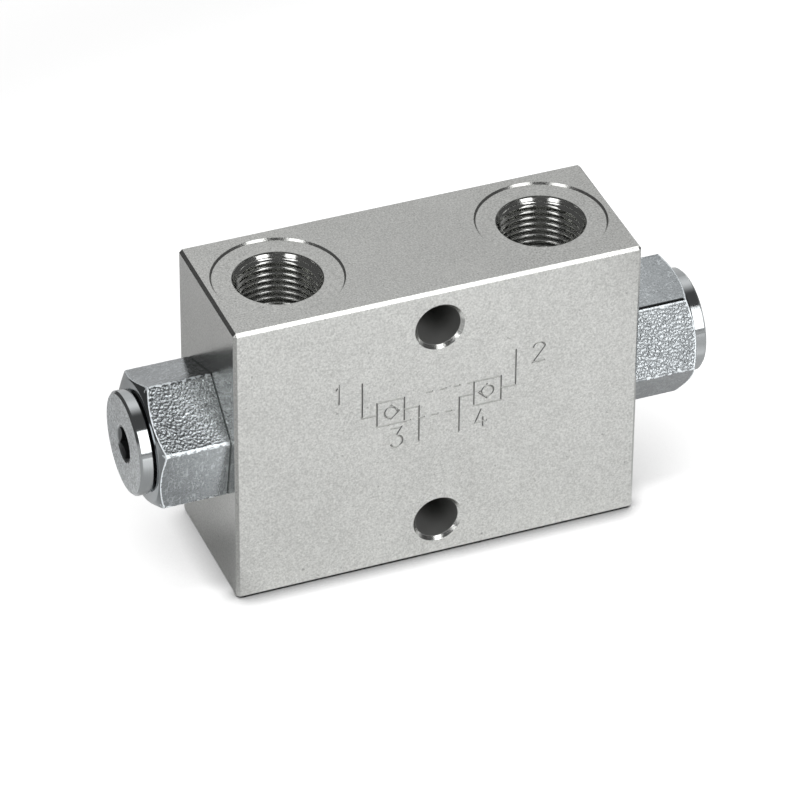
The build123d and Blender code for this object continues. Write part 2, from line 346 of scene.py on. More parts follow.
# %% Dress the block
block = welded_copy("valve_block", "block_dressed")
print("corners moved in the stamped marks:", slope_marks(block))
print("corners moved in the spot faces:", slope_spot_faces(block))
for port in ports:
    cut(block, make_tap(port))
shade(block)
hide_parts("valve_block")
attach(block, "housing")
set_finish(block, "block_zinc")
print("block triangles after tapping:", triangles(block))

# %% [markdown]
# The cartridges' heads are cut from rolled hexagon bar. The skin of such bar isn't smooth: two of its
# flats are dimpled like orange peel by scale pressed in by the rolls, and its corners are round and
# nicked. The head is remade as a turned mesh whose radius follows a hexagon. The stem and the bore
# behind it keep the CAD's sizes, given here in millimetres as steps of distance and radius.

# %% Size the cartridges
hex_apothem = 23.6 * mm / 2
hex_corner = 0.9 * mm
hex_face_radius = 11.5 * mm
hex_chamfer_slope = math.tan(math.radians(30))
hex_face = block_end + 13.6 * mm
hex_turns = {"left": math.radians(180 - 40.3), "right": math.radians(7.6)}
rolled_flats = {"left": (1, 4), "right": (2, 5)}
# A corner listed here gets a painted dark line of shade instead of a rubbed, highlighted edge.
unworn_corners = {"left": (), "right": (2,)}
stem_steps = [(23.0, 8.95), (24.2, 8.95), (24.2, 7.9), (28.8, 7.9), (28.8, 8.95), (31.05, 8.95),
              (31.05, 9.95), (38.2, 9.95), (38.2, 9.2), (40.0, 9.2)]
bore_steps = [(43.45, 6.58), (43.45, 6.0), (23.0, 6.0)]
plug_bore_radius = 6.58 * mm
cross_hole_radius = 2.0 * mm
cross_hole_place = 26.5 * mm
cross_hole_reach = 12 * mm
corner_centre = (hex_apothem - hex_corner) / math.cos(math.pi / 6)
flat_half = corner_centre / 2


def hexagon_radius(angle):
    """Radius of the hexagon with its rounded corners at multiples of 60 degrees."""
    from_corner = abs((angle + math.pi / 6) % (math.pi / 3) - math.pi / 6)
    if math.pi / 6 - from_corner > math.atan2(flat_half, hex_apothem):
        across = corner_centre * math.sin(from_corner)
        return corner_centre * math.cos(from_corner) + math.sqrt(hex_corner**2 - across**2)
    return hex_apothem / math.cos(math.pi / 6 - from_corner)


def chamfer_start(angle):
    """Distance at which the end chamfer begins: nearer the block at a corner than on a flat."""
    return hex_face - (hexagon_radius(angle) - hex_face_radius) * hex_chamfer_slope


# %% [markdown]
# A net as fine as the dimples all over the head would be heavy. It is fine only over the
# dimpled flats, where each pit is real and glints, and near the corners, which are nicked.

# %% Space the net over the flats
fine_step = 0.09 * mm
coarse_step = 0.6 * mm
corner_steps = 5
rows_beside_corner = 6


def flat_places(dimpled):
    """Places across a flat, from its middle: fine all over, or only near the corners."""
    if dimpled:
        count = round(2 * flat_half / fine_step)
        return [flat_half * (2 * i / count - 1) for i in range(count + 1)]
    edge = [flat_half - fine_step * i for i in range(rows_beside_corner)]
    inner = edge[-1]
    count = round(2 * inner / coarse_step)
    middle = [inner * (2 * i / count - 1) for i in range(1, count)]
    return [-p for p in edge] + middle + list(reversed(edge))


def hexagon_angles(rolled):
    """Angles once round the hexagon, from its first corner."""
    angles = []
    for flat in range(6):
        middle = math.radians(30 + 60 * flat)
        angles += [middle + math.atan2(p, hex_apothem) for p in flat_places(flat in rolled)]
        first, last = angles[-1], middle + math.pi / 3 - math.atan2(flat_half, hex_apothem)
        angles += [first + (last - first) * i / corner_steps for i in range(1, corner_steps)]
    return angles


# %% [markdown]
# The pits of rolled bar are round, lie close together and leave ridges between them. The distance to
# the nearest point of a random set gives just that, and a little smooth noise makes their depths
# uneven. The two cartridges were cut from different bars, so one is pitted more deeply. Edges that
# stand proud get knocked: a coarse and a fine noise, kept where positive, give a few nicks along them.

# %% Dimples, nicks, and rubbed edges with a painted highlight
dimple_depths = {"left": 0.045 * mm, "right": 0.095 * mm}
dimple_size = 0.5 * mm
dimple_middle = 0.85
dimple_fall = 1.2
uneven_size = 0.6 * dimple_size
uneven_share = 0.4
nick_size = 0.9 * mm
fine_nick_size = 0.35 * mm
fine_nick_share = 0.4
# Width of the rubbed band along an edge, which is also painted as a highlight.
wear_sheen_width = 0.45 * mm
corner_inset = 0.3 * hex_corner


def dimples(point):
    """Share of the dimples' depth at a point: near one in a pit, and below zero on a ridge."""
    to_pit = noise.voronoi(point / dimple_size)[0][0]
    return dimple_middle - dimple_fall * to_pit**2 + uneven_share * noise.noise(point / uneven_size)


def nicks(point):
    """Strength of the nicks at a point: zero over most of the head."""
    fine = fine_nick_share * noise.noise(point / fine_nick_size)
    return max(0.0, noise.noise(point / nick_size) + fine)


def edge_shares(angle, distance):
    """How near a point is to a corner, and to the chamfer's edge: one on it, zero a rubbed band's width
    away.
    """
    radius = hexagon_radius(angle)
    across = math.sqrt(max(radius**2 - hex_apothem**2, 0.0))
    to_corner = hex_apothem * math.tan(math.pi / 6) - across - corner_inset
    to_chamfer = chamfer_start(angle) - distance
    corner = min(1.0, max(0.0, 1 - to_corner / wear_sheen_width))
    return corner, max(0.0, 1 - to_chamfer / wear_sheen_width) if to_chamfer > -level_tolerance else 0.0


# %% Press them into the head
plain_flat_share = 0.12
nick_depth = 0.04 * mm
skin_depth = 0.8 * mm
end_margin = 0.02 * mm
fade_length = 3 * mm


def roughen(data, matrix, side_name):
    """Press dimples and nicks into the head's skin, and store its rubbed edges and dimpled flats.

    A rubbed edge, which is painted as a highlight, is stored as a positive share, and a painted dark
    line of shade along an unworn corner as a negative one. On the left head the dimples fade out
    towards the block.
    """
    turn = hex_turns[side_name]
    wear_and_painted_edges = data.attributes.new("edge_wear_and_painted_light", "FLOAT", "POINT")
    rolled = data.attributes.new("rolled_skin", "FLOAT", "POINT")
    inverse = matrix.inverted()
    for index, vertex in enumerate(data.vertices):
        local = inverse @ vertex.co
        if not block_end + end_margin < local.z < hex_face - end_margin:
            continue
        radius = math.hypot(local.x, local.y)
        angle = math.atan2(local.y, local.x) - turn
        if radius < hexagon_radius(angle) - skin_depth:
            continue
        corner, rim = edge_shares(angle, local.z)
        nick = nicks(vertex.co)
        flat = math.floor((angle % (2 * math.pi)) / (math.pi / 3))
        unworn = round(angle / (math.pi / 3)) % 6 in unworn_corners[side_name]
        corner_wear_and_sheen = 0.0 if unworn else corner
        # Rubbed edges are real wear that is also painted as a highlight. An unworn corner gets a
        # painted dark line of shade.
        wear_and_painted_edges.data[index].value = min(1.0, max(rim * (0.9 + nick), corner_wear_and_sheen * (0.5 + 1.2 * nick)))
        if unworn and rim == 0.0 and flat not in rolled_flats[side_name]:
            wear_and_painted_edges.data[index].value = -corner
        on_skin = radius > hexagon_radius(angle) - level_tolerance
        on_rolled = on_skin and flat in rolled_flats[side_name]
        fade = min(1.0, (local.z - block_end) / fade_length) if side_name == "left" else 1.0
        rolled.data[index].value = fade * (1 - corner) if on_rolled else 0.0
        strength = fade * (1 - corner) * (1.0 if on_rolled else plain_flat_share)
        dimple = dimple_depths[side_name] * dimples(vertex.co)
        depth = dimple * strength if on_skin else 0.0
        depth = max(depth, 0.0) + nick_depth * max(corner_wear_and_sheen, rim) * nick
        pull = 1 - depth / radius
        vertex.co = matrix @ Vector((local.x * pull, local.y * pull, local.z))


# %% [markdown]
# The head's rows run out from the block: a fine bevel, the flats, and the 30 degree chamfer that ends
# in an arc on each flat. Each row follows the chamfer's wavy start, so no triangle crosses it. The two
# cross holes through the stem are drilled last, with a boolean, as in the real piece.

# %% Rows of the head
seat_bevel = 0.2 * mm
skin_rows = round((hex_face - block_end) / fine_step)
cone_rows = 5


def head_rows(turn):
    """Rows over the hexagon, which is turned by an angle about the bore."""
    def radius(angle):
        return hexagon_radius(angle - turn)

    rows = [(block_end, lambda angle: radius(angle) - seat_bevel)]
    for i in range(skin_rows + 1):
        def distance(angle, share=i / skin_rows):
            start = block_end + seat_bevel
            return start + (chamfer_start(angle - turn) - start) * share

        rows.append((distance, radius))
    for i in range(1, cone_rows + 1):
        def cone_distance(angle, share=i / cone_rows):
            start = chamfer_start(angle - turn)
            return start + (hex_face - start) * share

        def cone_radius(angle, share=i / cone_rows):
            start = hexagon_radius(angle - turn)
            return start + (hex_face_radius - start) * share

        rows.append((cone_distance, cone_radius))
    return rows


# %% Build the cartridges
def make_cartridge(side_name, side):
    matrix = axis_matrix((0, 0, bore_height), (side, 0, 0))
    turn = hex_turns[side_name]
    rows = [(a * mm, r * mm) for a, r in stem_steps]
    rows += head_rows(turn)
    rows.append((hex_face, plug_bore_radius))
    rows += [(a * mm, r * mm) for a, r in bore_steps]
    angles = [a + turn for a in hexagon_angles(rolled_flats[side_name])]
    data = turned_mesh(f"cartridge_{side_name}_dressed", rows, angles, matrix, closed=True)
    roughen(data, matrix, side_name)
    piece = add_object(data.name, data)
    for diagonal in ((0, 1, 1), (0, -1, 1)):
        along = axis_matrix((side * cross_hole_place, 0, bore_height), diagonal)
        drill_rows = [(-cross_hole_reach, cross_hole_radius), (cross_hole_reach, cross_hole_radius)]
        drill = turned_mesh("drill", drill_rows, even_angles(40), along, closed=False)
        cut(piece, add_object("drill", drill))
    shade(piece, 40.0)
    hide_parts(f"cartridge_{side_name}")
    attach(piece, "housing")
    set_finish(piece, "forged_zinc")
    print(piece.name, "triangles:", triangles(piece))


make_cartridge("left", -1)
make_cartridge("right", 1)

# %% [markdown]
# The springs behind the poppets shorten when a poppet opens. Each spring is the CAD's own coil,
# anchored at the end plug that it pushes on.

# %% Dress the springs
for side_name, side in (("left", -1), ("right", 1)):
    spring = welded_copy(f"poppet_spring_{side_name}", f"spring_{side_name}_dressed")
    shade(spring)
    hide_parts(f"poppet_spring_{side_name}")
    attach(spring, "housing")
    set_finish(spring, "spring_wire")
    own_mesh(spring)

# %% [markdown]
# Materials are graphs of small nodes. These helpers add one node, or one sum, and wire it to what came
# before, so the graphs below read from top to bottom. Places and normals come from object
# coordinates, which stay with a piece when it slides, and places are turned into millimetres once.

# %% Helpers for shader graphs
def node(tree, kind, inputs=None, **settings):
    """Add a node. Each input is a constant or another node's output socket."""
    added = tree.nodes.new(kind)
    for key, value in settings.items():
        setattr(added, key, value)
    for key, value in (inputs or {}).items():
        if isinstance(value, bpy.types.NodeSocket):
            tree.links.new(value, added.inputs[key])
        else:
            added.inputs[key].default_value = value
    return added


def maths(tree, operation, *values):
    """One sum with one or two values, as its output socket."""
    return node(tree, "ShaderNodeMath", dict(enumerate(values)), operation=operation).outputs[0]


def times(tree, first, second):
    return maths(tree, "MULTIPLY", first, second)


def plus(tree, first, second):
    return maths(tree, "ADD", first, second)


def size_of(tree, value):
    """The value without its sign."""
    return maths(tree, "ABSOLUTE", value)


def split(tree, vector):
    """The X, Y and Z of a vector, as output sockets."""
    return node(tree, "ShaderNodeSeparateXYZ", {0: vector}).outputs


def joined(tree, x, y, z):
    """A vector from three numbers."""
    return node(tree, "ShaderNodeCombineXYZ", {"X": x, "Y": y, "Z": z}).outputs[0]


def ramp(tree, value, start, end, low=0.0, high=1.0):
    """Smooth step from low to high as the value goes from start to end."""
    inputs = {0: value, 1: start, 2: end, 3: low, 4: high}
    return node(tree, "ShaderNodeMapRange", inputs, interpolation_type="SMOOTHSTEP").outputs[0]


def blend(tree, share, low, high):
    """A number between low and high."""
    inputs = {"Factor": share, "A": low, "B": high}
    return node(tree, "ShaderNodeMix", inputs, data_type="FLOAT").outputs["Result"]


def place_in_mm(tree):
    place = node(tree, "ShaderNodeTexCoord").outputs["Object"]
    scaled = node(tree, "ShaderNodeVectorMath", {0: place, "Scale": 1 / mm}, operation="SCALE")
    return scaled.outputs[0]


def facing_x(tree):
    """How much the surface faces along X, either way: one on an end face, zero on the front."""
    return size_of(tree, split(tree, node(tree, "ShaderNodeTexCoord").outputs["Normal"])["X"])


def noise_at(tree, place, per_mm, detail=2.0, roughness=0.5):
    inputs = {"Vector": place, "Scale": per_mm, "Detail": detail, "Roughness": roughness}
    return node(tree, "ShaderNodeTexNoise", inputs).outputs[0]


# %% Helpers for shader groups
def new_group(name, inputs, outputs):
    """Shader group with number sockets after a vector socket called Place."""
    group = bpy.data.node_groups.new(name, "ShaderNodeTree")
    place = group.interface.new_socket("Place", in_out="INPUT", socket_type="NodeSocketVector")
    place.description = "Object coordinates in millimetres"
    for socket_name, value in inputs.items():
        socket = group.interface.new_socket(socket_name, in_out="INPUT", socket_type="NodeSocketFloat")
        socket.default_value = value
    for socket_name in outputs:
        group.interface.new_socket(socket_name, in_out="OUTPUT", socket_type="NodeSocketFloat")
    return group, group.nodes.new("NodeGroupInput").outputs, group.nodes.new("NodeGroupOutput").inputs


def use_group(tree, group, **values):
    """Place a group in a graph, with inputs by name, and return its outputs."""
    added = node(tree, "ShaderNodeGroup", node_tree=group)
    for key, value in values.items():
        socket = added.inputs[key.replace("_", " ").capitalize()]
        if isinstance(value, bpy.types.NodeSocket):
            tree.links.new(value, socket)
        else:
            socket.default_value = value
    return added.outputs


# %% [markdown]
# Zinc plate looks even from a step away, but up close it has a fine grain, a slow cloudiness and a few
# pits where the steel under it was scaled. One group gives them all, because the block, hexagons and
# plugs share that skin at different strengths: a shade near one, for the colour, and a height, for the
# bump.

# %% Group: plated grain
plated_grain, given, out = new_group(
    "plated_grain", {"Grain size": 0.25, "Grain amount": 0.1, "Pit amount": 0.5, "Cloud amount": 0.08},
    ["Shade", "Height"])
grain_scale = maths(plated_grain, "DIVIDE", 1.0, given["Grain size"])
grain = noise_at(plated_grain, given["Place"], grain_scale, detail=3.0, roughness=0.6)
grain_signed = maths(plated_grain, "SUBTRACT", grain, 0.5)
pit_field = noise_at(plated_grain, given["Place"], 1.1, detail=1.0)
pits = times(plated_grain, ramp(plated_grain, pit_field, 0.74, 0.8), given["Pit amount"])
cloud_field = noise_at(plated_grain, given["Place"], 0.12, detail=3.0)
cloud = maths(plated_grain, "SUBTRACT", cloud_field, 0.5)
grain_part = times(plated_grain, grain_signed, given["Grain amount"])
cloud_part = times(plated_grain, cloud, given["Cloud amount"])
shade_sum = plus(plated_grain, plus(plated_grain, grain_part, cloud_part), 1.0)
plated_grain.links.new(maths(plated_grain, "SUBTRACT", shade_sum, pits), out["Shade"])
height_sum = maths(plated_grain, "SUBTRACT", grain_signed, times(plated_grain, pits, 2.0))
plated_grain.links.new(height_sum, out["Height"])

# %% [markdown]
# Handling leaves scratches. A real one is a long narrow groove, so the group stretches a noise along
# one direction and keeps only the thin line where it crosses its middle value. Two directions are
# enough to look random, and a slow noise leaves most of the surface clean.

# %% Group: scratches
scratches, given, out = new_group("scratches", {"Width": 0.02, "Cover": 0.5}, ["Mask"])
lines = []
for turn in (0.5, 1.9):
    inputs = {"Vector": given["Place"], "Rotation": (turn, 0.7 * turn, turn), "Scale": (6.0, 0.6, 0.6)}
    turned = node(scratches, "ShaderNodeMapping", inputs, vector_type="TEXTURE").outputs[0]
    crossing = maths(scratches, "SUBTRACT", noise_at(scratches, turned, 1.0, detail=0.0), 0.5)
    lines.append(maths(scratches, "LESS_THAN", size_of(scratches, crossing), given["Width"]))
field = noise_at(scratches, given["Place"], 0.5)
gate = maths(scratches, "GREATER_THAN", field, maths(scratches, "SUBTRACT", 1.0, given["Cover"]))
both = maths(scratches, "MAXIMUM", lines[0], lines[1])
scratches.links.new(times(scratches, both, gate), out["Mask"])

# %% [markdown]
# A lathe or a milling cutter leaves fine rings. On an end face they change with the radius, and on a
# side along the axis, so a noise of those two numbers draws both. The group takes a place whose origin
# is on the axis and whose Z runs along it.

# %% Group: tool rings
tool_rings, given, out = new_group("tool_rings", {"Rings per mm": 6.0}, ["Radius", "Height"])
axes = split(tool_rings, given["Place"])
across_x = times(tool_rings, axes["X"], axes["X"])
across_y = times(tool_rings, axes["Y"], axes["Y"])
from_axis = maths(tool_rings, "SQRT", plus(tool_rings, across_x, across_y))
profile = joined(tool_rings, from_axis, axes["Z"], 0.0)
ripple = noise_at(tool_rings, profile, given["Rings per mm"], roughness=0.6)
tool_rings.links.new(from_axis, out["Radius"])
tool_rings.links.new(maths(tool_rings, "SUBTRACT", ripple, 0.5), out["Height"])

# %% [markdown]
# Every finish starts alike: a material with one Principled BSDF, whose metallic and roughness are set
# on its own sockets. The colour is scaled by a shade near one, and the bump is given in millimetres, so
# each number below can be read as a size or a share.

# %% Start a finish
def new_material(name, roughness, metallic=1.0):
    """Material with its own shader, and its place in millimetres."""
    material = bpy.data.materials.new(name)
    material.use_nodes = True
    tree = material.node_tree
    shader = tree.nodes["Principled BSDF"]
    shader.inputs["Metallic"].default_value = metallic
    shader.inputs["Roughness"].default_value = roughness
    return material, tree, shader.inputs, place_in_mm(tree)


def tint(tree, colour, shade):
    """The colour multiplied by a shade that varies over the surface."""
    return node(tree, "ShaderNodeVectorMath", {0: colour, "Scale": shade}, operation="SCALE").outputs[0]


def bump(tree, height, depth_mm):
    return node(tree, "ShaderNodeBump", {"Height": height, "Distance": depth_mm * mm}).outputs[0]


def moved(tree, place, offset):
    return node(tree, "ShaderNodeVectorMath", {0: place, 1: offset}, operation="ADD").outputs[0]


def lathe_place(tree, place):
    """The place, measured from the bore's axis and with Z along it, as a lathe holds it."""
    axes = split(tree, moved(tree, place, (0, 0, -bore_height / mm)))
    return joined(tree, axes["Y"], axes["Z"], axes["X"])


# %% [markdown]
# The block is ground steel under clear zinc. Its flat faces are satin with a fine mottle, and the
# ports, which a sharp tool cut, are smoother. The colour is painted darker, as shade, a little down a
# port and much more inside the long screw holes. Each of these places is told from its distance to an
# axis or a face, in millimetres. The block is the same left and right, so the size of X serves both
# ports, and the distance from the bore's level serves top and bottom.

# %% Material: plated block
block_colour = (0.70, 0.705, 0.685)
block_rough = 0.2
top_port_offset = 26.0
low_port_offset = 15.0
port_radius = 8.45
port_bottom = 10.0
spot_floor_radius = (spot_radius - spot_slope) / mm
spot_level = 29.5
block_metal, tree, surface, place = new_material("block_zinc_plate", block_rough)
skin = use_group(tree, plated_grain, place=place, grain_size=0.33, grain_amount=1.2, pit_amount=0.3,
                 cloud_amount=0.14)
axes = split(tree, place)
from_middle = size_of(tree, maths(tree, "SUBTRACT", axes["Z"], bore_height / mm))
on_top = maths(tree, "GREATER_THAN", axes["Z"], bore_height / mm)
port_offset = blend(tree, on_top, low_port_offset, top_port_offset)
port_x = maths(tree, "SUBTRACT", size_of(tree, axes["X"]), port_offset)
port_place = joined(tree, port_x, axes["Y"], axes["Z"])
rings = use_group(tree, tool_rings, place=port_place, rings_per_mm=3.0)
on_spot = times(tree, ramp(tree, rings["Radius"], spot_floor_radius, spot_floor_radius - 0.1),
                ramp(tree, from_middle, spot_level - 0.5, spot_level))
in_port = times(tree, ramp(tree, rings["Radius"], port_radius + 0.15, port_radius),
                ramp(tree, from_middle, port_bottom, port_bottom + 1))

# %% Screw holes of the block
screw_hole_radius = 4.25
screw_hole_inset = 8.0
hole_z = maths(tree, "SUBTRACT", from_middle, bore_height / mm - screw_hole_inset)
hole_square = plus(tree, times(tree, axes["X"], axes["X"]), times(tree, hole_z, hole_z))
hole_distance = maths(tree, "SQRT", hole_square)
in_hole = ramp(tree, hole_distance, screw_hole_radius + 0.06, screw_hole_radius + 0.02)

# %% [markdown]
# In the stamped grooves, the sides of an upright stroke look at each other and go dark, while those of
# a level stroke look at the pale floor and almost vanish. That shade and light are painted into the
# colour: darker on upright sides, paler on level ones. The object normal tells them apart.

# %% Stamped grooves of the block
marks_half_height = 15.0
marks_half_width = 28.0
mark_low, mark_high = block_low[1] / mm + 0.01, (block_low[1] + mark_depth) / mm
in_groove = times(tree, ramp(tree, axes["Y"], mark_low, mark_low + 0.04),
                  ramp(tree, axes["Y"], mark_high + 0.1, mark_high + 0.05))
in_groove = times(tree, in_groove, ramp(tree, from_middle, marks_half_height + 1, marks_half_height))
near_marks = ramp(tree, size_of(tree, axes["X"]), marks_half_width + 2, marks_half_width)
in_groove = times(tree, in_groove, near_marks)
upright = times(tree, in_groove, ramp(tree, facing_x(tree), 0.2, 0.6))

# %% Join the block's surface
port_depths = (20.0, 29.0)
# Painted shade: a port's colour darkens a little towards its bottom.
port_painted_shades = (0.95, 1.0)
port_roughs = (0.24, 0.13)
# Painted light and shade in the grooves: paler level sides, darker upright sides.
level_painted_light, upright_painted_shade, groove_rough = 1.12, 0.4, 0.5
# Painted shade: the screw holes' colour is made much darker.
hole_painted_shade, hole_metallic, hole_rough = 0.26, 0.5, 0.5
spot_rough, spot_ring_strength = 0.26, 1.5
cut_shade = blend(tree, in_port, skin["Shade"], ramp(tree, from_middle, *port_depths, *port_painted_shades))
cut_shade = blend(tree, in_groove, cut_shade, level_painted_light)
cut_shade = blend(tree, in_hole, blend(tree, upright, cut_shade, upright_painted_shade), hole_painted_shade)
tree.links.new(tint(tree, block_colour, cut_shade), surface["Base Color"])
tree.links.new(blend(tree, in_hole, 1.0, hole_metallic), surface["Metallic"])
face_rough = plus(tree, block_rough, times(tree, skin["Height"], 0.12))
port_rough = ramp(tree, from_middle, *port_depths, *port_roughs)
cut_rough = blend(tree, in_port, blend(tree, on_spot, face_rough, spot_rough), port_rough)
cut_rough = blend(tree, in_groove, cut_rough, groove_rough)
tree.links.new(blend(tree, in_hole, cut_rough, hole_rough), surface["Roughness"])
spot_relief = times(tree, times(tree, on_spot, rings["Height"]), spot_ring_strength)
relief = plus(tree, skin["Height"], spot_relief)
tree.links.new(bump(tree, blend(tree, in_port, relief, skin["Height"]), 0.01), surface["Normal"])

# %% [markdown]
# The hexagons have the same plate over a rolled skin, a little bluer. Their edges have been knocked and
# rubbed, and burnished metal there scatters light all ways. The mesh stored how near each point is to
# an edge, so the worn line follows the real edges and nicks, and there the surface is made paler and
# partly matt: real wear, with a painted highlight. One corner has a painted dark line of shade instead.
# The dimpled flats are duller than the plain ones, and the end, which was turned, is the smoothest and
# mirrors the dark side of the room; its colour is also painted darker, as shade.

# %% Material: hexagon skin
hex_colour = (0.445, 0.472, 0.487)
plain_rough, rolled_rough, end_rough = 0.15, 0.25, 0.08
rolled_shades = (0.96, 1.05)
# The turned end and its chamfer are painted darker, as shade.
scratch_shade, end_painted_shade, painted_dark_shade = 0.4, 0.85, 0.1
# Rubbed edges: real wear, painted paler as a highlight and partly matt.
wear_sheen_shade, worn_metallic, worn_rough = 1.9, 0.4, 0.4
hex_metal, tree, surface, place = new_material("hexagon_zinc_plate", plain_rough)
skin = use_group(tree, plated_grain, place=place, grain_size=0.4, grain_amount=1.1, pit_amount=0.2,
                 cloud_amount=0.5)
marks = use_group(tree, scratches, place=place, width=0.04, cover=0.55)["Mask"]
wear_and_painted_edges = node(tree, "ShaderNodeAttribute", attribute_name="edge_wear_and_painted_light").outputs["Fac"]
wear_sheen_line = ramp(tree, plus(tree, wear_and_painted_edges, times(tree, skin["Height"], 0.8)), 0.4, 0.65)
# Painted dark line of shade where the stored share is negative.
painted_dark_line = ramp(tree, wear_and_painted_edges, -0.1, -0.4)
on_end = ramp(tree, facing_x(tree), 0.5, 0.7)
rolled_share = node(tree, "ShaderNodeAttribute", attribute_name="rolled_skin").outputs["Fac"]

# %% Join the hexagon's surface
skin_shade = plus(tree, skin["Shade"], times(tree, marks, scratch_shade))
skin_shade = times(tree, skin_shade, ramp(tree, rolled_share, 0.0, 1.0, *rolled_shades))
# Painted shade on the end and along one corner, then a painted highlight on rubbed edges.
skin_shade = blend(tree, painted_dark_line, blend(tree, on_end, skin_shade, end_painted_shade), painted_dark_shade)
skin_shade = blend(tree, wear_sheen_line, skin_shade, wear_sheen_shade)
tree.links.new(tint(tree, hex_colour, skin_shade), surface["Base Color"])
tree.links.new(blend(tree, wear_sheen_line, 1.0, worn_metallic), surface["Metallic"])
skin_rough = blend(tree, on_end, blend(tree, rolled_share, plain_rough, rolled_rough), end_rough)
tree.links.new(blend(tree, wear_sheen_line, skin_rough, worn_rough), surface["Roughness"])
relief = blend(tree, on_end, plus(tree, skin["Height"], marks), 0.0)
tree.links.new(bump(tree, relief, 0.03), surface["Normal"])

# %% [markdown]
# The end plugs were turned, so their rims shine in bands, while their faces are matt. The face looks
# along X, and the normal in object coordinates tells it from the rim. The broached socket's colour is
# painted darker, as shade.

# %% Material: turned end plugs
plug_colour = (0.62, 0.645, 0.655)
plug_front = -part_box("end_plug_left")[0][0] / mm
socket_radius = 3.7
rim_rough, face_rough = 0.1, 0.32
socket_painted_shade, socket_rough = 0.35, 0.3
plug_metal, tree, surface, place = new_material("plug_zinc_plate", 0.12)
skin = use_group(tree, plated_grain, place=place, grain_size=0.35, grain_amount=2.6, pit_amount=0.3,
                 cloud_amount=0.3)
on_face = ramp(tree, facing_x(tree), 0.9, 0.97)
rings = use_group(tree, tool_rings, place=lathe_place(tree, place), rings_per_mm=7.0)
from_block = size_of(tree, split(tree, place)["X"])
in_socket = times(tree, ramp(tree, rings["Radius"], socket_radius + 0.1, socket_radius),
                  ramp(tree, from_block, plug_front - 0.1, plug_front - 0.3))
face_shade = blend(tree, in_socket, blend(tree, on_face, 1.0, skin["Shade"]), socket_painted_shade)
tree.links.new(tint(tree, plug_colour, face_shade), surface["Base Color"])
plug_rough = blend(tree, in_socket, blend(tree, on_face, rim_rough, face_rough), socket_rough)
tree.links.new(plug_rough, surface["Roughness"])
relief = plus(tree, times(tree, rings["Height"], 0.35), times(tree, skin["Height"], on_face))
tree.links.new(bump(tree, relief, 0.012), surface["Normal"])

# %% [markdown]
# Inside, the poppets, seats and piston are hardened and ground, so they are darker than the plate and
# show fine rings. The springs are drawn wire with a dull tempered skin. They are only seen once the
# block is opened, so one colour and one group are enough for each.

# %% Material: hardened steel
steel_colour = (0.5, 0.5, 0.49)
steel_metal, tree, surface, place = new_material("hardened_steel_ground", 0.16)
rings = use_group(tree, tool_rings, place=lathe_place(tree, place), rings_per_mm=9.0)
ring_shade = plus(tree, 1.0, times(tree, rings["Height"], 0.25))
tree.links.new(tint(tree, steel_colour, ring_shade), surface["Base Color"])
tree.links.new(bump(tree, rings["Height"], 0.004), surface["Normal"])

# %% Material: spring wire
wire_colour = (0.36, 0.35, 0.33)
wire_metal, tree, surface, place = new_material("spring_steel", 0.3)
skin = use_group(tree, plated_grain, place=place, grain_size=0.15, grain_amount=0.5)
tree.links.new(tint(tree, wire_colour, skin["Shade"]), surface["Base Color"])
tree.links.new(bump(tree, skin["Height"], 0.006), surface["Normal"])

# %% [markdown]
# The seals are moulded nitrile rubber, black with a dull bloom, and the backup rings are cut from white
# sealing plastic. Neither is metal, so their colour is the surface's own and the gloss stays low.

# %% Materials: rubber and backup rings
rubber_colour = (0.018, 0.018, 0.02)
backup_colour = (0.78, 0.77, 0.73)
rubber, tree, surface, place = new_material("nitrile_rubber", 0.5, metallic=0.0)
skin = use_group(tree, plated_grain, place=place, grain_size=0.12, grain_amount=1.2)
tree.links.new(tint(tree, rubber_colour, skin["Shade"]), surface["Base Color"])
tree.links.new(bump(tree, skin["Height"], 0.01), surface["Normal"])
backup_plastic, tree, surface, place = new_material("backup_ptfe", 0.45, metallic=0.0)
skin = use_group(tree, plated_grain, place=place, grain_size=0.3, grain_amount=0.1, pit_amount=0.0)
tree.links.new(tint(tree, backup_colour, skin["Shade"]), surface["Base Color"])
tree.links.new(bump(tree, skin["Height"], 0.01), surface["Normal"])

# %% [markdown]
# The CAD record names a finish for each of its pieces, and the dressed pieces named theirs above. One
# table turns those names into materials, so no piece is left with a plain one.

# %% Give each piece its material
slot_finish = {
    "block_zinc": block_metal, "forged_zinc": hex_metal, "turned_zinc": plug_metal,
    "hardened_steel": steel_metal, "spring_wire": wire_metal, "nitrile": rubber,
    "backup_ptfe": backup_plastic,
}
finishes = [(frame["nodes"][p["node"]], p["material_slot"]) for p in frame["record"]["subparts"]]
finishes += [(o, o["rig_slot"]) for o in bpy.context.scene.objects if "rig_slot" in o]
for piece, slot in finishes:
    piece.data.materials.clear()
    piece.data.materials.append(slot_finish[slot])
print("pieces with a finish:", len(finishes))

# %% [markdown]
# The valve stands on a small sheet of white paper. The sheet fades out at its rim, so that beyond it a
# camera sees the white room. Light Path tells who is looking. A camera, or glass, sees a dark paper
# that glows a steady white, so the lamps hardly count. Metal mirrors the paper as the lamps light it,
# with a painted shadow under the valve and painted grey patches of shade to tone reflections: one at
# the left end and two at the right.

# %% Lay the floor
sheet_centre = (0.06, -0.14, 0)
sheet_radius = 0.36
sheet_fade = 0.26
floor = add_object("floor", turned_mesh(
    "floor", [(-1 * mm, sheet_radius), (0.0, sheet_radius)], even_angles(64),
    axis_matrix(sheet_centre, (0, 0, 1)), closed=False))
paper = bpy.data.materials.new("floor_paper")
paper.use_nodes = True
tree = paper.node_tree
surface = tree.nodes["Principled BSDF"].inputs
surface["Roughness"].default_value = 0.9
surface["Specular IOR Level"].default_value = 0.0
surface["Emission Color"].default_value = (1, 1, 1, 1)


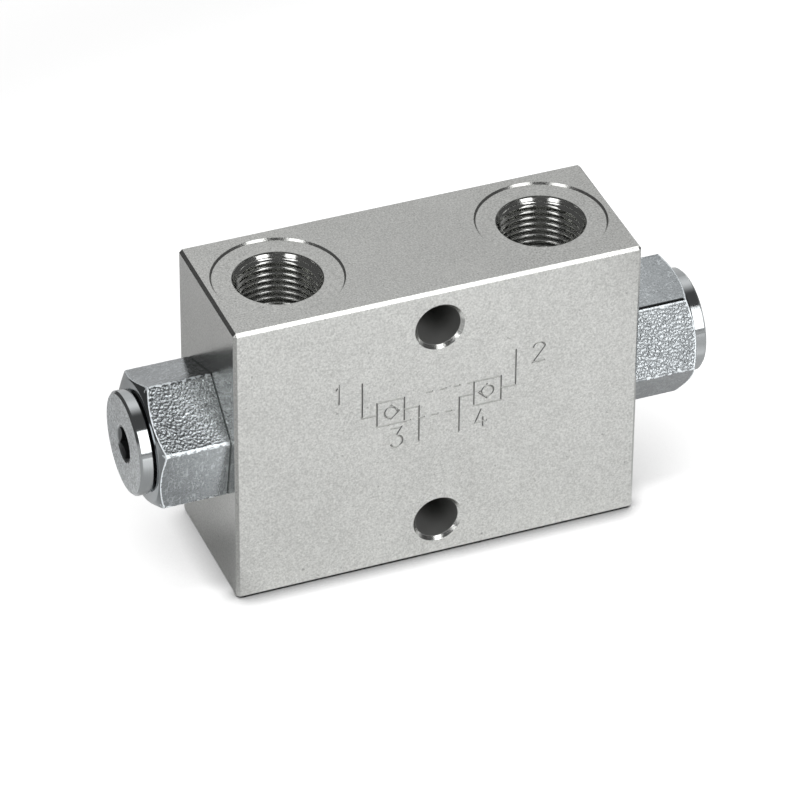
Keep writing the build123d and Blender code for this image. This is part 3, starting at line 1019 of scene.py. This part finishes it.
def seen_directly(tree):
    """One for a ray from the camera or through glass, and zero for a mirrored or scattered one."""
    light_path = node(tree, "ShaderNodeLightPath").outputs
    return maths(tree, "MAXIMUM", light_path["Is Camera Ray"], light_path["Is Transmission Ray"])


def length_of(tree, vector):
    return node(tree, "ShaderNodeVectorMath", {0: vector}, operation="LENGTH").outputs["Value"]


# %% The paper as metal mirrors it
# Each edge of a shade patch is a pair of places in millimetres: bare paper at the first, patch at the
# second.
paper_white, shade_patch_grey, under_shadow_grey = 0.86, 0.47, 0.35
front_mm, left_mm = block_low[1] / mm, block_low[0] / mm
left_patch_x, left_patch_y = (left_mm + 8.0, left_mm - 8.0), (12.0, 0.0)
near_patch_x, near_patch_y = (42.0, 50.0), (-34.0, -22.0)
far_patch_x, right_patches_y = (66.0, 80.0), (30.0, 15.0)
right_patches_cover = 0.75
under_shadow_margin = 0.4
along = split(tree, place_in_mm(tree))
# Painted grey patches of shade on the paper, seen only in mirrors: one at the left end and two at the
# right.
left_shade_patch = times(tree, ramp(tree, along["X"], *left_patch_x), ramp(tree, along["Y"], *left_patch_y))
near_shade_patch = times(tree, ramp(tree, along["X"], *near_patch_x), ramp(tree, along["Y"], *near_patch_y))
right_shade_patches = maths(tree, "MAXIMUM", ramp(tree, along["X"], *far_patch_x), near_shade_patch)
right_shade_patches = times(tree, right_shade_patches, ramp(tree, along["Y"], *right_patches_y, 0.0, right_patches_cover))
shade_patches = maths(tree, "MAXIMUM", left_shade_patch, right_shade_patches)
# Painted shadow under the valve, seen only in mirrors.
beside_x = maths(tree, "SUBTRACT", size_of(tree, along["X"]), -left_mm)
beside_y = maths(tree, "SUBTRACT", size_of(tree, along["Y"]), -front_mm)
under_valve_shadow = ramp(tree, maths(tree, "MAXIMUM", beside_x, beside_y), under_shadow_margin, 0.0)
mirrored_paper = blend(tree, under_valve_shadow, blend(tree, shade_patches, paper_white, shade_patch_grey), under_shadow_grey)

# %% [markdown]
# Seen by the camera, the glowing paper would swallow the valve's own shadow. Ambient occlusion, which
# measures how much of the sky a point sees, gives it back: a tight shadow all round, where the valve
# touches the paper, and a wide soft one beside and behind, where the lamps in front don't fill it.

# %% The paper as the camera sees it
paper_for_camera = 0.3
whites_for_camera, white_distances = (0.97, 1.3), (80.0, 200.0)
shadow_samples = 4
tight_reach, wide_reach = 5 * mm, 28 * mm
tight_front, tight_side = 1.5, 0.7
wide_left, wide_right = 0.5, 0.7
tight_inputs, wide_inputs = {"Distance": tight_reach}, {"Distance": wide_reach}
tight = node(tree, "ShaderNodeAmbientOcclusion", tight_inputs, samples=shadow_samples).outputs["AO"]
wide = node(tree, "ShaderNodeAmbientOcclusion", wide_inputs, samples=shadow_samples).outputs["AO"]
wide_strength = ramp(tree, along["X"], left_mm, -left_mm, wide_left, wide_right)
wide_share = times(tree, wide_strength, ramp(tree, along["Y"], front_mm, front_mm + 8.0))
tight_strength = ramp(tree, along["Y"], front_mm, front_mm + 4.0, tight_front, tight_side)
shadow = times(tree, tight_strength, maths(tree, "SUBTRACT", 1.0, tight))
contact = maths(tree, "MAXIMUM", 0.0, maths(tree, "SUBTRACT", 1.0, shadow))
contact = times(tree, contact, blend(tree, wide_share, 1.0, wide))

# %% Join the floor's surface
seen = seen_directly(tree)
paper_shade = blend(tree, seen, mirrored_paper, times(tree, paper_for_camera, contact))
tree.links.new(tint(tree, (1, 1, 1), paper_shade), surface["Base Color"])
from_valve = length_of(tree, place_in_mm(tree))
glow = times(tree, seen, ramp(tree, from_valve, *white_distances, *whites_for_camera))
tree.links.new(times(tree, glow, contact), surface["Emission Strength"])
on_sheet = moved(tree, node(tree, "ShaderNodeTexCoord").outputs["Object"], [-v for v in sheet_centre])
gone = ramp(tree, length_of(tree, on_sheet), sheet_fade, sheet_radius)
paper_surface = tree.nodes["Principled BSDF"].outputs[0]
inputs = {0: gone, 1: paper_surface, 2: node(tree, "ShaderNodeBsdfTransparent").outputs[0]}
tree.links.new(node(tree, "ShaderNodeMixShader", inputs).outputs[0],
               tree.nodes["Material Output"].inputs["Surface"])
floor.data.materials.append(paper)
print("floor sheet across in mm:", round(2 * sheet_radius / mm))

# %% [markdown]
# Bare metal is drawn by what it mirrors, so the room matters as much as the lamps. It is dim, with a
# bright ceiling behind and to the right of the valve and a pale wall below it, which give the top face
# and the upper flats their grey, and a low pale wall in front. A camera, or glass, that looks past the
# sheet sees plain white instead.

# %% Room
world = bpy.data.worlds.new("studio_room")
bpy.context.scene.world = world
world.use_nodes = True
tree = world.node_tree
axes = split(tree, node(tree, "ShaderNodeTexCoord").outputs["Generated"])
room = 0.08
# Each bright part: how bright it is, and where it starts and is full along each axis.
room_parts = (
    (0.78, {"Z": (0.25, 0.85), "Y": (0.0, 0.5), "X": (-0.25, 0.05)}),  # ceiling
    (0.5, {"X": (-0.15, 0.2), "Y": (0.72, 0.93)}),  # back wall
    (0.4, {"Y": (0.0, -0.3), "Z": (0.15, 0.02)}),  # front wall
)
for brightness, edges in room_parts:
    share = 1.0
    for axis, (bare, full) in edges.items():
        share = times(tree, share, ramp(tree, axes[axis], bare, full))
    room = plus(tree, room, times(tree, share, brightness))
background = tree.nodes["Background"].inputs
tree.links.new(blend(tree, seen_directly(tree), room, 1.0), background["Strength"])
background["Color"].default_value = (1, 1, 1, 1)
print("bright parts of the room:", len(room_parts))

# %% [markdown]
# Two upright softboxes stand in front, one each side of the camera. Polished edges, the plugs' rims
# and the thread crests mirror them as pairs of white patches. Behind each hangs a smaller lamp, hidden
# from mirrors, that lights the paper. The paper in front gets the light of both, and behind each end of
# the block the light of one, so the end faces mirror a darker paper than the front.

# %% Lamps
def add_lamp(name, azimuth, elevation, distance, width, height, radiance):
    """Area lamp that faces the valve. The azimuth is from -Y, where the front looks, towards +X.

    Angles are in degrees and sizes in metres. The energy gives the lamp that radiance.
    """
    a, e = math.radians(azimuth), math.radians(elevation)
    lamp = bpy.data.lights.new(name, "AREA")
    lamp.shape = "RECTANGLE"
    lamp.size = width
    lamp.size_y = height
    lamp.energy = radiance * math.pi * width * height
    holder = bpy.data.objects.new(name, lamp)
    way = Vector((math.cos(e) * math.sin(a), -math.cos(e) * math.cos(a), math.sin(e)))
    holder.location = Vector((0, 0, bore_height)) + distance * way
    holder.rotation_euler = way.to_track_quat("Z", "Y").to_euler()
    bpy.context.collection.objects.link(holder)
    return holder


add_lamp("right_softbox", 19.5, 31, 1.1, 0.45, 0.95, 2.4)
add_lamp("left_softbox", -55.5, 37, 1.1, 0.38, 1.03, 2.0)
add_lamp("right_paper_lamp", 25, 25, 1.3, 0.58, 0.58, 13.3).visible_glossy = False
add_lamp("left_paper_lamp", -51, 30, 1.3, 0.58, 0.58, 3.9).visible_glossy = False
print("lamps:", len(bpy.data.lights))

# %% [markdown]
# Standard keeps colours as they are written, and the last cell sets it.

# %% Finish
bpy.context.scene.view_settings.view_transform = "Standard"
